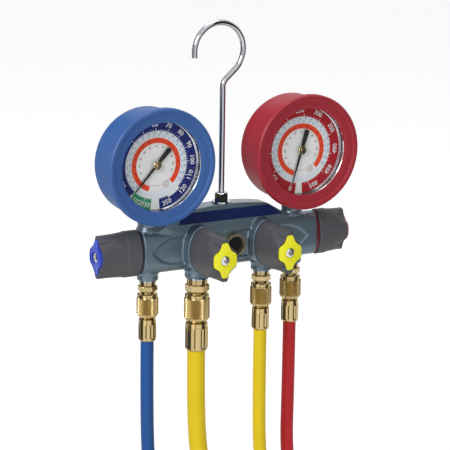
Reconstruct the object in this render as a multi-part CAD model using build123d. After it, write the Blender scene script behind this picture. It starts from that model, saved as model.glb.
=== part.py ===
from build123d import *
import math
import os

# A four-valve refrigerant manifold gauge set, hanging from its hook.
# Millimetres. +Z is up, +X runs along the manifold to the high side and -Y is the front.
# The origin is the inside top of the hook's bend, where it rests on whatever carries it.

# ---- hook --------------------------------------------------------------------
ROD_D = 5.0
HOOK_R = 23.5  # centreline of the bend
HOOK_LEG_TURN = 49.0  # how far the bend runs on past its widest point, degrees
HOOK_TIP_DROP = 5.0
SHANK_X = 4.0
SHANK_BEND_R = 9.0
NUT_AF = 11.0
NUT_H = 7.5
WASHER_D = 16.4
WASHER_T = 1.2

# ---- manifold body -------------------------------------------------------------
AXIS_Z = -188.0  # height of the barrel and of all four valves
BARREL_HALF_Z = 19.0
BARREL_HALF_Y = 11.5
BARREL_LEFT = -75.4
BARREL_RIGHT = 94.0
SPINE_TOP = -152.4
SPINE_SHOULDER = -155.7
SPINE_FOOT = -176.0
SPINE_MID_X = 4.0
SPINE_FLAT_HALF = 41.5  # from the middle to the shoulder of the spine
SPINE_HALF = 75.7  # from the middle to the foot of the spine
SPINE_HALF_Y = 8.5
SPINE_EDGE_R = 3.0
FLARE_TOP = -166.5
FLARE_LIP = (12.2, -175.2)  # half depth and height of the flare's widest line
FLARE_BOW_R = 475.0  # the flare bows out in the middle and fades towards the ends
PANEL_LEFT, PANEL_RIGHT = -67.7, 84.7
PANEL_HALF_Z = 11.6
PANEL_NOSE = 27.0  # length of each pointed end of the panel
PANEL_FLOOR = (10.4, 21.0)  # half depth and half height of the oval that its floor follows
PORT_BOSS_MARGIN = 1.6  # from the flats of the fitting to the edge of its boss
BOSS_RIM_T = 3.6
BOSS_NECK = 1.5  # how far a round boss steps in behind its rim
BOSS_HALF_Z = 21.0
BOSS_HALF_X = 13.5
BOSS_FRONT = -19.5
SIGHT_X = 10.9
SIGHT_R = 10.0
SIGHT_BORE_R = 7.8
SIGHT_FRONT = -14.6
SIGHT_SEAT = -9.0
COLLAR_T = {"low": 1.5, "high": 2.6}

# ---- valves -----------------------------------------------------------------------
VALVE_BORE_R = 7.0
VALVE_BORE_DEPTH = 26.0
RUNNING_GAP = 0.05
PISTON_L = 9.0
STEM_R = 3.0
STEM_HOLE_R = STEM_R + RUNNING_GAP
BONNET_AF = 15.0
BONNET_HEAD = 4.0
BONNET_PLUG = 8.0
KNOB_SKIRT = (12.5, 20.0)  # half width, half height of the skirt
KNOB_L = 37.7
KNOB_SHORT_L = 28.4
KNOB_SKIRT_L = 13.5
KNOB_SKIRT_SHORT_L = 10.0
KNOB_STEP = 0.4  # how far the grip steps in from the skirt
GROOVES = (-1.0, 0.0, 1.0)  # finger grooves in each hollow of the grip, side by side
GROOVE_R = (0.35, 1.15)
KNOB_CAVITY_R = 10.6
KNOB_CAVITY = 10.0
KNOB_GAP = 0.5
CAP_POCKET = 2.5
CAP_DOME = 2.2
CAP_DOME_R = 57.0
CAP_HALF = (10.75, 15.0)
CAP_RECESS_R = 4.9
SCREW_HEAD_R = 4.4

# ---- gauges ---------------------------------------------------------------------------
GAUGE_X = {"low": -66.5, "high": 74.5}
GAUGE_Z = -111.0
GAUGE_FRONT = -26.5
BOOT_LIP_R = 50.0
BOOT_LIP_T = 6.0
BOOT_R = 46.0
BOOT_L = 39.5
BOOT_OPENING_R = 37.6
CASE_R = 40.0
CASE_WALL = 1.0
CASE_FRONT = 6.4
CASE_BACK = 36.5
DIAL_Y = 13.5  # depths below are measured back from the boot's front face
DIAL_T = 0.8
LENS_T = 1.8
SPACER_T = 2.5
SPACER_RIDGES = 3
POINTER_Y = 11.6
POINTER_T = 0.5
SOCKET_Y = 26.5
GAUGE_STEM_R = 6.0
GAUGE_STEM_DEPTH = 9.0
GAUGE_BOSS_R = 9.0
GAUGE_BOSS_TOP = -161.0
TOOTH_MODULE = 0.42
PINION_TEETH = 10
SECTOR_TEETH = 100  # on a full circle of the sector's radius
GEAR_Y = 18.0
GEAR_T = 1.6
POINTER_REST = {"low": 226.8, "high": 252.9}  # degrees, anticlockwise from +X seen from the front

# ---- ports, couplers and hoses -----------------------------------------------------------------
PORT_TOP = -212.5
SHOULDER_T = 1.5
QUARTER = {"hose_d": 11.4, "hex_af": 15.0, "hex_l": 9.5, "nut_r": 9.5, "nut_l": 21.5,
           "thread_r": 5.5, "ferrule_r": 7.6, "ferrule_l": 19.5}
THREE_EIGHTHS = {"hose_d": 15.6, "hex_af": 18.5, "hex_l": 12.0, "nut_r": 11.2, "nut_l": 24.5,
                 "thread_r": 7.9, "ferrule_r": 9.8, "ferrule_l": 24.5}
CENTRE_PORT_Y = -11.0
# Each port: x, y and the size of its fittings.
PORTS = {
    "low": (GAUGE_X["low"], 0.0, QUARTER),
    "vacuum": (-24.7, CENTRE_PORT_Y, THREE_EIGHTHS),
    "charging": (38.3, CENTRE_PORT_Y, QUARTER),
    "high": (GAUGE_X["high"], 0.0, QUARTER),
}
NOZZLE_L = 11.0
NOZZLE_FIT = 0.06
THREAD_L = 12.0  # threaded depth of a coupler, with a relief groove behind it
RELIEF_L = 3.5
HOSE_L = 1524.0
GALLERY_R = 3.0
GALLERY_STEP = 4.0  # the low side's gallery lies this far behind the other

# Each coil: radius, turns, side it winds to, centre height, centre depth.
COILS = {
    "low": (62.0, 3, -1, -505.0, 3.0),
    "vacuum": (92.0, 2, -1, -536.0, 6.0),
    "charging": (62.0, 3, -1, -510.0, -8.0),
    "high": (62.0, 3, 1, -512.0, 3.0),
}
TAIL_OVERLAP = 1.5  # how far a coil's straight end runs up into its turns
TAIL_SLIM = 0.05
TIE_T = 1.2
TIE_W = 14.0
TIE_GAP = 0.3


def along_y(shape, x, y, z):
    """Turns a shape drawn about +Z so that it points to the front, -Y, and places it."""
    return Pos(x, y, z) * Rot(90, 0, 0) * shape


def cyl(radius, bottom, top):
    """A cylinder about the Z axis between two heights."""
    return Pos(0, 0, bottom) * Cylinder(radius, top - bottom, align=(Align.CENTER, Align.CENTER, Align.MIN))


def hexagon(across_flats, bottom, top):
    sketch = RegularPolygon(across_flats / 2, 6, major_radius=False)
    return Pos(0, 0, bottom) * extrude(sketch, top - bottom)


def revolved(points):
    """Revolves a closed outline of (radius, height) points about Z."""
    face = make_face(Polyline(*[(r, 0, z) for r, z in points], close=True))
    return revolve(face, Axis.Z)


def save(shape, name):
    export_step(shape, f"parts/{name}.step")


# ---- hook --------------------------------------------------------------------------------

def hook():
    bend_z = -(HOOK_R - ROD_D / 2)
    turn = math.radians(HOOK_LEG_TURN)
    leg = Vector(HOOK_R * math.cos(turn), 0, bend_z - HOOK_R * math.sin(turn))
    run = (leg.X - SHANK_X) / math.sin(turn)
    kink = Vector(SHANK_X, 0, leg.Z - run * math.cos(turn))
    end = Vector(SHANK_X, 0, SPINE_TOP - 10)
    tip = Vector(-HOOK_R, 0, bend_z - HOOK_TIP_DROP)
    nose = Line(tip, (-HOOK_R, 0, bend_z))
    bend = CenterArc((0, 0), HOOK_R, -HOOK_LEG_TURN, 180 + HOOK_LEG_TURN)
    bend = Plane((0, 0, bend_z), x_dir=(1, 0, 0), z_dir=(0, -1, 0)) * bend
    leg_line = FilletPolyline(leg, kink, end, radius=SHANK_BEND_R)
    path = Wire([nose.edge(), *bend.edges(), *leg_line.edges()])
    section = Plane(tip, z_dir=(0, 0, 1)) * Circle(ROD_D / 2)
    return sweep(section, path=path)


def hook_fastening():
    top = SPINE_TOP + WASHER_T + NUT_H
    bore = cyl(ROD_D / 2, SPINE_TOP - 1, top + 1)
    nut = hexagon(NUT_AF, SPINE_TOP + WASHER_T, top)
    dome = Pos(0, 0, SPINE_TOP + WASHER_T - 2.2) * Sphere(NUT_AF * 0.98)
    washer = cyl(WASHER_D / 2, SPINE_TOP, SPINE_TOP + WASHER_T)
    place = Pos(SHANK_X, 0, 0)
    return place * ((nut & dome) - bore), place * (washer - bore)


# ---- manifold body ---------------------------------------------------------------------------

def oval(half_y, half_z, left, right):
    """A bar of oval section along X."""
    plane = Plane((left, 0, AXIS_Z), x_dir=(0, 1, 0), z_dir=(1, 0, 0))
    return extrude(plane * Ellipse(half_y, half_z), right - left)


def spine():
    """The crowned ridge that carries the hook. Its sides flare out into the barrel."""
    mid, flat, half = SPINE_MID_X, SPINE_FLAT_HALF, SPINE_HALF
    crown = ThreePointArc(
        (mid - flat, 0, SPINE_SHOULDER), (mid, 0, SPINE_TOP), (mid + flat, 0, SPINE_SHOULDER)
    )
    sides = Polyline(
        (mid + flat, 0, SPINE_SHOULDER), (mid + half, 0, SPINE_FOOT), (mid + half, 0, AXIS_Z),
        (mid - half, 0, AXIS_Z), (mid - half, 0, SPINE_FOOT), (mid - flat, 0, SPINE_SHOULDER),
    )
    front_view = extrude(make_face([*crown.edges(), *sides.edges()]), 30, both=True)
    w, top, r = SPINE_HALF_Y, SPINE_TOP + 1, SPINE_EDGE_R
    lip_y, lip_z = FLARE_LIP
    right = [
        Line((0, 0, top), (0, w - r, top)),
        ThreePointArc((0, w - r, top), (0, w - 0.3 * r, top - 0.3 * r), (0, w, top - r)),
        Line((0, w, top - r), (0, w, FLARE_TOP)),
        ThreePointArc((0, w, FLARE_TOP), (0, w + 0.25 * (lip_y - w), (FLARE_TOP + lip_z) / 2), (0, lip_y, lip_z)),
        Line((0, lip_y, lip_z), (0, BARREL_HALF_Y - 0.1, AXIS_Z)),
        Line((0, BARREL_HALF_Y - 0.1, AXIS_Z), (0, 0, AXIS_Z)),
        Line((0, 0, AXIS_Z), (0, 0, top)),
    ]
    half_view = extrude(make_face(right), half + 10, both=True)
    end_view = Pos(mid, 0, 0) * (half_view + mirror(half_view, Plane.XZ))
    bow = [
        Pos(mid, side * (FLARE_BOW_R - lip_y), AXIS_Z) * Cylinder(FLARE_BOW_R, 90) for side in (-1, 1)
    ]
    return front_view & end_view & bow[0] & bow[1]


def front_panel():
    """What is cut away for the long panel: shallow, nearly flat, pointed at both ends."""
    top, left, right, nose = PANEL_HALF_Z, PANEL_LEFT, PANEL_RIGHT, PANEL_NOSE
    edges = [
        Line((left + nose, top), (right - nose, top)),
        ThreePointArc((right - nose, top), (right - 0.34 * nose, 0.68 * top), (right - 0.5, 1.6)),
        ThreePointArc((right - 0.5, 1.6), (right, 0), (right - 0.5, -1.6)),
        ThreePointArc((right - 0.5, -1.6), (right - 0.34 * nose, -0.68 * top), (right - nose, -top)),
        Line((right - nose, -top), (left + nose, -top)),
        ThreePointArc((left + nose, -top), (left + 0.34 * nose, -0.68 * top), (left + 0.5, -1.6)),
        ThreePointArc((left + 0.5, -1.6), (left, 0), (left + 0.5, 1.6)),
        ThreePointArc((left + 0.5, 1.6), (left + 0.34 * nose, 0.68 * top), (left + nose, top)),
    ]
    outline = along_y(extrude(make_face(edges), 20), 0, 0, AXIS_Z)
    return outline - oval(*PANEL_FLOOR, BARREL_LEFT - 1, BARREL_RIGHT + 1)


def round_boss(radius, rim, root):
    """A round boss with a thin rim at its mouth, standing on a narrower neck."""
    step = BOSS_RIM_T if root > rim else -BOSS_RIM_T
    disc = cyl(radius, min(rim, rim + step), max(rim, rim + step))
    return disc + cyl(radius - BOSS_NECK, min(rim, root), max(rim, root))


def manifold_body():
    """The painted casting: barrel, spine, panel and bosses, all cut off square at the barrel's ends."""
    body = oval(BARREL_HALF_Y, BARREL_HALF_Z, BARREL_LEFT, BARREL_RIGHT)
    body += spine()
    body -= front_panel()
    for name in ("vacuum", "charging"):
        x = PORTS[name][0]
        body += along_y(extrude(Ellipse(BOSS_HALF_X, BOSS_HALF_Z), -BOSS_FRONT), x, 0, AXIS_Z)
    for x, y, size in PORTS.values():
        body += Pos(x, y, 0) * round_boss(size["hex_af"] / 2 + PORT_BOSS_MARGIN, PORT_TOP, AXIS_Z)
    for x in GAUGE_X.values():
        body += Pos(x, 0, 0) * round_boss(GAUGE_BOSS_R, GAUGE_BOSS_TOP, AXIS_Z)
    length = BARREL_RIGHT - BARREL_LEFT
    envelope = Pos((BARREL_LEFT + BARREL_RIGHT) / 2, BOSS_FRONT, AXIS_Z) * Box(
        length, 60, 120, align=(Align.CENTER, Align.MIN, Align.CENTER)
    )
    return (body & envelope) - passages()


def passages():
    """The drilled ways: gauge and port drillings, valve bores and the galleries between them."""
    cuts = []
    for x in GAUGE_X.values():
        cuts.append(Pos(x, 0, 0) * cyl(GAUGE_STEM_R, GAUGE_BOSS_TOP - GAUGE_STEM_DEPTH, GAUGE_BOSS_TOP))
        cuts.append(Pos(x, 0, 0) * cyl(GALLERY_R / 2, AXIS_Z, GAUGE_BOSS_TOP))
    for name, (x, y, size) in PORTS.items():
        cuts.append(Pos(x, y, 0) * cyl(GALLERY_R, PORT_TOP, AXIS_Z))
        cuts.append(valve_place(name) * cyl(VALVE_BORE_R, -VALVE_BORE_DEPTH, 0))
    middle = PORTS["vacuum"][0]
    for left, right, y in ((GAUGE_X["low"], middle, GALLERY_STEP), (middle, GAUGE_X["high"], 0)):
        plane = Plane((left, y, AXIS_Z), z_dir=(1, 0, 0))
        cuts.append(extrude(plane * Circle(GALLERY_R / 2), right - left))
    cuts.append(Pos(SHANK_X, 0, 0) * cyl(ROD_D / 2, SPINE_TOP - 10, SPINE_TOP + 1))
    cuts.append(along_y(cyl(SIGHT_R, 0, 10), SIGHT_X, SIGHT_SEAT, AXIS_Z))
    return cuts


# ---- valves ----------------------------------------------------------------------------------

def valve_place(name):
    """Puts a valve drawn along +Z, with its seat face at 0, on the body where it belongs."""
    x = PORTS[name][0]
    return {
        "low": Pos(BARREL_LEFT, 0, AXIS_Z) * Rot(0, -90, 0) * Rot(0, 0, 90),
        "vacuum": Pos(x, BOSS_FRONT, AXIS_Z) * Rot(90, 0, 0),
        "charging": Pos(x, BOSS_FRONT, AXIS_Z) * Rot(90, 0, 0),
        "high": Pos(BARREL_RIGHT, 0, AXIS_Z) * Rot(0, 90, 0) * Rot(0, 0, 90),
    }[name]


def collar_thickness(name):
    return COLLAR_T.get(name, 0)


def collar(name):
    """The coloured ring that the body ends in."""
    t = collar_thickness(name)
    left = BARREL_LEFT - t if name == "low" else BARREL_RIGHT
    ring = oval(BARREL_HALF_Y, BARREL_HALF_Z, left, left + t)
    return ring - valve_place(name) * hexagon(BONNET_AF, -1, 5)


def bonnet():
    """A gland nut: a plug in the valve bore with a hexagon outside it."""
    plug = cyl(VALVE_BORE_R, -BONNET_PLUG, 0) + hexagon(BONNET_AF, 0, BONNET_HEAD)
    return plug - cyl(STEM_HOLE_R, -BONNET_PLUG - 1, BONNET_HEAD + 1)


def piston():
    """A cone-nosed piston that closes the drilling at the bottom of the valve bore."""
    r, bottom = VALVE_BORE_R - RUNNING_GAP, -VALVE_BORE_DEPTH + 0.4
    body = revolved([(0, bottom), (r - 2, bottom), (r, bottom + 2), (r, bottom + PISTON_L), (0, bottom + PISTON_L)])
    groove = cyl(r + 1, bottom + 4, bottom + 5.5) - cyl(r - 1, bottom + 4, bottom + 5.5)
    socket = cyl(STEM_R + RUNNING_GAP, bottom + 3, bottom + PISTON_L + 1)
    return body - groove - socket


def knob_length(name):
    return KNOB_SHORT_L if name == "high" else KNOB_L


def star(scale_x, scale_y, z):
    """The four-lobed outline of the knob's end, at a height, as one smooth closed curve."""
    quarter = [(0.0, 1.0), (0.20, 0.985), (0.30, 0.86), (0.38, 0.70), (0.60, 0.50), (0.90, 0.37), (0.985, 0.24)]
    ring = quarter + [(1.0, 0.0)] + [(u, -v) for u, v in reversed(quarter)]
    ring += [(-u, -v) for u, v in quarter[1:]] + [(-1.0, 0.0)]
    ring += [(-u, v) for u, v in reversed(quarter[1:])]
    points = [(u * scale_x, v * scale_y, z) for u, v in ring]
    return make_face(Spline(*points, periodic=True))


def oval_ring(scale_x, scale_y, z):
    """An oval with its points at the same angles as those of the star."""
    angles = [90, 80, 72, 62, 45, 28, 16, 0]
    quarter = [(math.cos(math.radians(a)), math.sin(math.radians(a))) for a in angles]
    ring = quarter + [(u, -v) for u, v in reversed(quarter[:-1])]
    ring += [(-u, -v) for u, v in quarter[1:-1]] + [(-1.0, 0.0)]
    ring += [(-u, v) for u, v in reversed(quarter[1:-1])]
    points = [(u * scale_x, v * scale_y, z) for u, v in ring]
    return make_face(Spline(*points, periodic=True))


def knob_grooves(rim, long):
    """The fans of finger grooves in the four hollows between the lobes."""
    half_x, half_y = KNOB_SKIRT
    cutters = []
    for u in (-1, 1):
        for v in (-1, 1):
            for k in GROOVES:
                start = Vector(u * half_x * (0.70 + 0.05 * k), v * half_y * (0.72 - 0.05 * k), rim + 0.55 * long)
                end = Vector(u * half_x * (0.58 + 0.19 * k), v * half_y * (0.50 - 0.11 * k), rim + long)
                along = end - start
                cone = Cone(*GROOVE_R, along.length, align=(Align.CENTER, Align.CENTER, Align.MIN))
                cutters.append(Plane(start, z_dir=along) * cone)
    return cutters


def knob(name):
    """An oval skirt, then a grip that passes into a four-lobed end, hollow over the bonnet."""
    long = knob_length(name)
    skirt = KNOB_SKIRT_SHORT_L if name == "high" else KNOB_SKIRT_L
    rim = collar_thickness(name) + KNOB_GAP
    half_x, half_y = KNOB_SKIRT
    body = loft([
        oval_ring(half_x - 0.5, half_y - 0.5, rim), oval_ring(half_x, half_y, rim + 0.8),
        oval_ring(half_x, half_y, rim + skirt - 0.4), oval_ring(half_x - KNOB_STEP, half_y - KNOB_STEP, rim + skirt),
    ], ruled=True)
    inset = KNOB_STEP
    body += loft([
        oval_ring(half_x - inset, half_y - inset, rim + skirt),
        oval_ring(half_x - inset - 0.2, half_y - inset - 0.8, rim + 0.6 * long),
        star(half_x - 0.7, half_y - 1.6, rim + long),
    ])
    body -= knob_grooves(rim, long)
    body -= cyl(KNOB_CAVITY_R, rim - 1, rim + KNOB_CAVITY)
    body -= cyl(STEM_R, rim, rim + long + 1)
    pocket = extrude(star(CAP_HALF[0] + 0.05, CAP_HALF[1] + 0.05, rim + long - CAP_POCKET), CAP_POCKET + 1)
    return body - pocket


def cap(name):
    """The coloured plate in the knob's end: domed, with a round recess for the screw."""
    face = collar_thickness(name) + KNOB_GAP + knob_length(name)
    plate = extrude(star(CAP_HALF[0], CAP_HALF[1], face - CAP_POCKET), CAP_POCKET + CAP_DOME + 1)
    plate &= Pos(0, 0, face + CAP_DOME - CAP_DOME_R) * Sphere(CAP_DOME_R)
    plate -= cyl(CAP_RECESS_R, face + 0.6, face + 10)
    return plate - cyl(STEM_R, face - CAP_POCKET - 1, face + 5)


def stem(name):
    """The valve stem, with the cross-head screw that holds the knob on as a second solid."""
    face = collar_thickness(name) + KNOB_GAP + knob_length(name)
    bottom = -VALVE_BORE_DEPTH + 0.4 + 3.1
    rod_top = face - CAP_POCKET - 3
    rod = cyl(STEM_R, bottom, rod_top)
    screw = cyl(STEM_R, rod_top, face + 0.6)
    screw += cyl(SCREW_HEAD_R, face + 0.6, face + 1.9)
    return rod, screw


# ---- gauges ---------------------------------------------------------------------------------------

def gauge_place(side):
    """Puts a gauge on the manifold: drawn with its front face at 0, +Z to the back and +Y up."""
    return Pos(GAUGE_X[side], GAUGE_FRONT, GAUGE_Z) * Rot(-90, 0, 0) * Rot(0, 0, 180)


def gauge_down(shape):
    """Turns a shape drawn along +Z so that it points down from the gauge's middle, where its stem runs."""
    return Pos(0, 0, SOCKET_Y) * Rot(90, 0, 0) * shape


def boot():
    outline = [
        (BOOT_OPENING_R, 4.0), (BOOT_OPENING_R, 2.6), (BOOT_OPENING_R + 2.4, 1.9), (BOOT_LIP_R - 5.2, 1.4),
        (BOOT_LIP_R - 3.6, 0.1), (BOOT_LIP_R - 1.2, 0), (BOOT_LIP_R, 1.4), (BOOT_LIP_R, BOOT_LIP_T - 0.6),
        (BOOT_LIP_R - 0.8, BOOT_LIP_T), (BOOT_R, BOOT_LIP_T + 0.8), (BOOT_R, BOOT_L - 4.0),
        (BOOT_R - 1.2, BOOT_L - 1.2), (BOOT_R - 4.0, BOOT_L), (33.0, BOOT_L), (33.0, CASE_BACK + 0.05),
        (CASE_R + 0.05, CASE_BACK + 0.05), (CASE_R + 0.05, 4.0),
    ]
    hole = gauge_down(cyl(GAUGE_STEM_R + 2.5, 30, 60))
    return revolved(outline) - hole


def case():
    outline = [
        (CASE_R, CASE_FRONT), (CASE_R, CASE_BACK), (0, CASE_BACK), (0, CASE_BACK - CASE_WALL),
        (CASE_R - CASE_WALL, CASE_BACK - CASE_WALL), (CASE_R - CASE_WALL, CASE_FRONT),
    ]
    return revolved(outline) - gauge_down(cyl(GAUGE_STEM_R + 1.3, 30, 60))


def bezel():
    """The rolled ring in front of the lens, and the ridged ring that holds the lens off the dial."""
    outline = [
        (CASE_R, CASE_FRONT), (CASE_R - 3.4, CASE_FRONT), (CASE_R - 4.4, CASE_FRONT - 1.0),
        (CASE_R - 3.8, CASE_FRONT - 2.2), (CASE_R - 1.0, CASE_FRONT - 2.3), (CASE_R, CASE_FRONT - 1.4),
    ]
    outer, near, far = CASE_R - CASE_WALL, CASE_FRONT + LENS_T, DIAL_Y
    inner = outer - SPACER_T
    ridge = (far - near) / SPACER_RIDGES
    ridged = [(outer, near)]
    for i in range(SPACER_RIDGES):
        crest = inner + 0.4 * i
        ridged += [(crest, near + ridge * i), (crest, near + ridge * (i + 0.35)), (crest + 0.8, near + ridge * (i + 0.8))]
    ridged += [(inner + 0.4 * SPACER_RIDGES, far), (outer, far)]
    return revolved(outline), revolved(ridged)


def gauge_lens():
    return cyl(CASE_R - CASE_WALL, CASE_FRONT, CASE_FRONT + LENS_T)


def dial():
    return cyl(CASE_R - CASE_WALL, DIAL_Y, DIAL_Y + DIAL_T) - cyl(1.6, DIAL_Y - 1, DIAL_Y + 2)


def movement():
    """Socket and bourdon tube in one brazed piece, then the two plates with their four posts."""
    drop = GAUGE_Z - GAUGE_BOSS_TOP
    block = Pos(0, -31.5, SOCKET_Y) * Box(18, 12, 12)
    hexed = gauge_down(hexagon(12, 35, drop) + cyl(GAUGE_STEM_R, 46, drop + GAUGE_STEM_DEPTH))
    socket = (block + hexed) - gauge_down(cyl(1.5, 30, 70))
    tube_r = 29.0
    arc = CenterArc((0, 0), tube_r, -72, 250)
    lens_shape = Plane(arc @ 0, z_dir=arc % 0, x_dir=(0, 0, 1)) * Ellipse(4.5, 1.6)
    tube = Pos(0, 0, SOCKET_Y) * sweep(lens_shape, path=arc)
    plates = []
    for depth in (DIAL_Y + DIAL_T + 1.2, SOCKET_Y - 1.0):
        plate = Pos(0, -9, depth + 0.5) * Box(15, 34, 1)
        plates.append(plate)
    post_bottom, post_top = DIAL_Y + DIAL_T + 2.2, SOCKET_Y - 1.0
    posts = [Pos(x, y, 0) * cyl(1.2, post_bottom, post_top) for x in (-6, 6) for y in (6.0, -24.4)]
    frame = plates[0] + plates[1] + posts
    frame -= cyl(1.0 + RUNNING_GAP, 0, 40)
    frame -= Pos(0, -sector_offset(), 0) * cyl(1.2 + RUNNING_GAP, 0, 40)
    return socket + tube, frame - block


def sector_offset():
    """Distance between the arbor and the sector's pivot, with a little backlash."""
    return TOOTH_MODULE * (PINION_TEETH + SECTOR_TEETH) / 2 + 0.12


def tooth(root_r, tip_r, half_root, half_tip):
    """One straight-flanked tooth pointing along +Y."""
    face = make_face(
        Polyline((-half_root, root_r), (-half_tip, tip_r), (half_tip, tip_r), (half_root, root_r), close=True)
    )
    return extrude(face, GEAR_T)


def pointer(side):
    """Needle, hub, arbor and pinion, which turn as one piece. Drawn pointing along +Y."""
    needle = make_face(
        Polyline(
            (-0.35, 30.0), (-1.2, 4.0), (-1.5, -3.0), (-2.4, -16.8), (-1.4, -18.2), (1.4, -18.2), (2.4, -16.8),
            (1.5, -3.0), (1.2, 4.0), (0.35, 30.0), close=True,
        )
    )
    body = Pos(0, 0, POINTER_Y) * extrude(needle, POINTER_T)
    body += cyl(3.0, POINTER_Y - 0.9, POINTER_Y + POINTER_T)
    body += cyl(1.0, POINTER_Y, SOCKET_Y + 0.5)
    pitch = TOOTH_MODULE * PINION_TEETH / 2
    wheel = cyl(pitch - 1.2 * TOOTH_MODULE, 0, GEAR_T)
    for i in range(PINION_TEETH):
        blade = tooth(pitch - 1.3 * TOOTH_MODULE, pitch + 0.85 * TOOTH_MODULE, 0.34, 0.13)
        wheel += Rot(0, 0, (i + 0.5) * 360 / PINION_TEETH) * blade
    turn = POINTER_REST[side] - 90
    return Rot(0, 0, -turn) * body + Pos(0, 0, GEAR_Y) * wheel


def sector(side):
    """The toothed sector. Its pivot is straight below the arbor and its teeth face up."""
    pitch = TOOTH_MODULE * SECTOR_TEETH / 2
    travel = {"low": (-3.3, 29.7), "high": (0, 32.0)}[side]
    step = 360 / SECTOR_TEETH
    first = -int(travel[1] / step + 3.5)
    last = int(-travel[0] / step + 3.5)
    rim_from, rim_to = (first - 0.5) * step, (last + 0.5) * step
    ring = Circle(pitch - 1.25 * TOOTH_MODULE) - Circle(pitch - 4.5)
    a, b = math.radians(90 - rim_from), math.radians(90 - rim_to)
    reach = 3 * pitch
    wedge = make_face(
        Polyline(
            (0, 0), (reach * math.cos(a), reach * math.sin(a)), (0, reach * 1.2),
            (reach * math.cos(b), reach * math.sin(b)), close=True,
        )
    )
    ring = extrude(ring & wedge, GEAR_T)
    body = ring
    for i in range(first, last + 1):
        blade = tooth(pitch - 1.35 * TOOTH_MODULE, pitch + 0.85 * TOOTH_MODULE, 0.36, 0.13)
        body += Rot(0, 0, -i * step) * blade
    middle = -(rim_from + rim_to) / 2
    arm = Pos(0, pitch / 2 - 1, 0) * extrude(Rectangle(4, pitch - 4), GEAR_T)
    body += Rot(0, 0, middle) * arm
    body += cyl(2.4, 0, GEAR_T)
    pivot = cyl(1.2, DIAL_Y + DIAL_T + 0.4 - GEAR_Y, SOCKET_Y + 0.5 - GEAR_Y)
    return Pos(0, -sector_offset(), GEAR_Y) * (body + pivot)


# ---- ports, couplers and hoses ------------------------------------------------------------------------

def port_fitting(size):
    """A plated shoulder, a hexagon and the threaded nose that the coupler screws on to."""
    hex_bottom = PORT_TOP - SHOULDER_T - size["hex_l"]
    shape = cyl(size["hex_af"] / 2 - 0.3, PORT_TOP - SHOULDER_T, PORT_TOP)
    blank = hexagon(size["hex_af"], hex_bottom, PORT_TOP - SHOULDER_T)
    corner = size["hex_af"] / 2 / math.cos(math.radians(30))
    bevel = 1.3
    trim = revolved([
        (0, hex_bottom), (corner - bevel, hex_bottom), (corner, hex_bottom + bevel),
        (corner, PORT_TOP - SHOULDER_T - bevel), (corner - bevel, PORT_TOP - SHOULDER_T), (0, PORT_TOP - SHOULDER_T),
    ])
    shape += blank & trim
    r = size["thread_r"]
    nose = hex_bottom - NOZZLE_L
    shape += revolved([(0, hex_bottom), (r, hex_bottom), (r, nose + 2), (r - 2, nose), (0, nose)])
    return shape - cyl(GALLERY_R * 0.8, nose - 1, PORT_TOP + 1)


def coupler_top(size):
    return PORT_TOP - SHOULDER_T - size["hex_l"] - 0.35


def coupler(size):
    """A knurled nut drawn below 0: a plain faceted band, the grip and a tapered foot."""
    r, long, bore = size["nut_r"], size["nut_l"], size["thread_r"] + NOZZLE_FIT
    outline = [
        (bore, 0), (r - 1.4, 0), (r - 0.5, -0.8), (r - 0.5, -4.6), (r - 1.0, -5.2), (r, -5.8),
        (r, -long + 5.0), (r - 2.6, -long), (neck_r(size) + NOZZLE_FIT, -long),
        (neck_r(size) + NOZZLE_FIT, -THREAD_L - RELIEF_L), (bore + 0.6, -THREAD_L - RELIEF_L),
        (bore + 0.6, -THREAD_L), (bore, -THREAD_L),
    ]
    return revolved(outline)


def neck_r(size):
    return size["thread_r"] - 1.6


def ferrule(size, top):
    """A fluted crimped sleeve, with the neck and flared head that hold the coupler."""
    r, long = size["ferrule_r"], size["ferrule_l"]
    sleeve = revolved([
        (0, top), (r - 1.5, top), (r - 0.2, top - 1.0), (r - 0.2, top - 3.6), (r, top - 4.4), (r, top - long + 1.2),
        (r - 0.5, top - long), (0, top - long),
    ])
    flutes = 8
    for i in range(flutes):
        flute = Pos(r + 2.0, 0, 0) * cyl(2.6, top - long + 2.4, top - 5.2)
        sleeve -= Rot(0, 0, i * 360 / flutes) * flute
    neck_top = top + 0.35 + size["nut_l"] - THREAD_L - RELIEF_L
    sleeve += cyl(neck_r(size), top, neck_top + 0.2)
    sleeve += cyl(neck_r(size) + 0.9, neck_top + 0.2, neck_top + 2.6)
    return sleeve - cyl(1.8, top - long, neck_top + 3)


def upper_ferrule_top(size):
    return coupler_top(size) - size["nut_l"] - 0.35


def hose_points(name):
    """The route of a hose from its upper ferrule to the front of its coil."""
    x, y, size = PORTS[name]
    radius, turns, side, centre_z, centre_y = COILS[name]
    start = upper_ferrule_top(size) - size["ferrule_l"]
    front = centre_y - radius
    sway = {"low": 2.2, "vacuum": 2.6, "charging": 1.6, "high": -0.9}[name]
    aside = {"low": -8.0}.get(name, 0)  # keeps this coil clear of the next one
    lean, short = (math.radians(25), 40.0) if size is QUARTER else (math.radians(20), 44.0)
    steep = ((y - front) - 2 * short * math.sin(lean)) / math.sin(2 * lean)
    rise = 2 * short * math.cos(lean) + steep * math.cos(2 * lean)
    last = short * 0.8
    top = centre_z + last + rise
    run = (start - top) / 2
    points = [
        (x, y, start),
        (x, y, start - run),
        (x + sway, y, top),
        (x + sway + 0.4 * aside, y - short * math.sin(lean), top - short * math.cos(lean)),
        (x + sway + 0.8 * aside, front + short * math.sin(lean), centre_z + last + short * math.cos(lean)),
        (x + sway + aside, front, centre_z + last),
        (x + sway + aside, front, centre_z),
    ]
    return points


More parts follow.
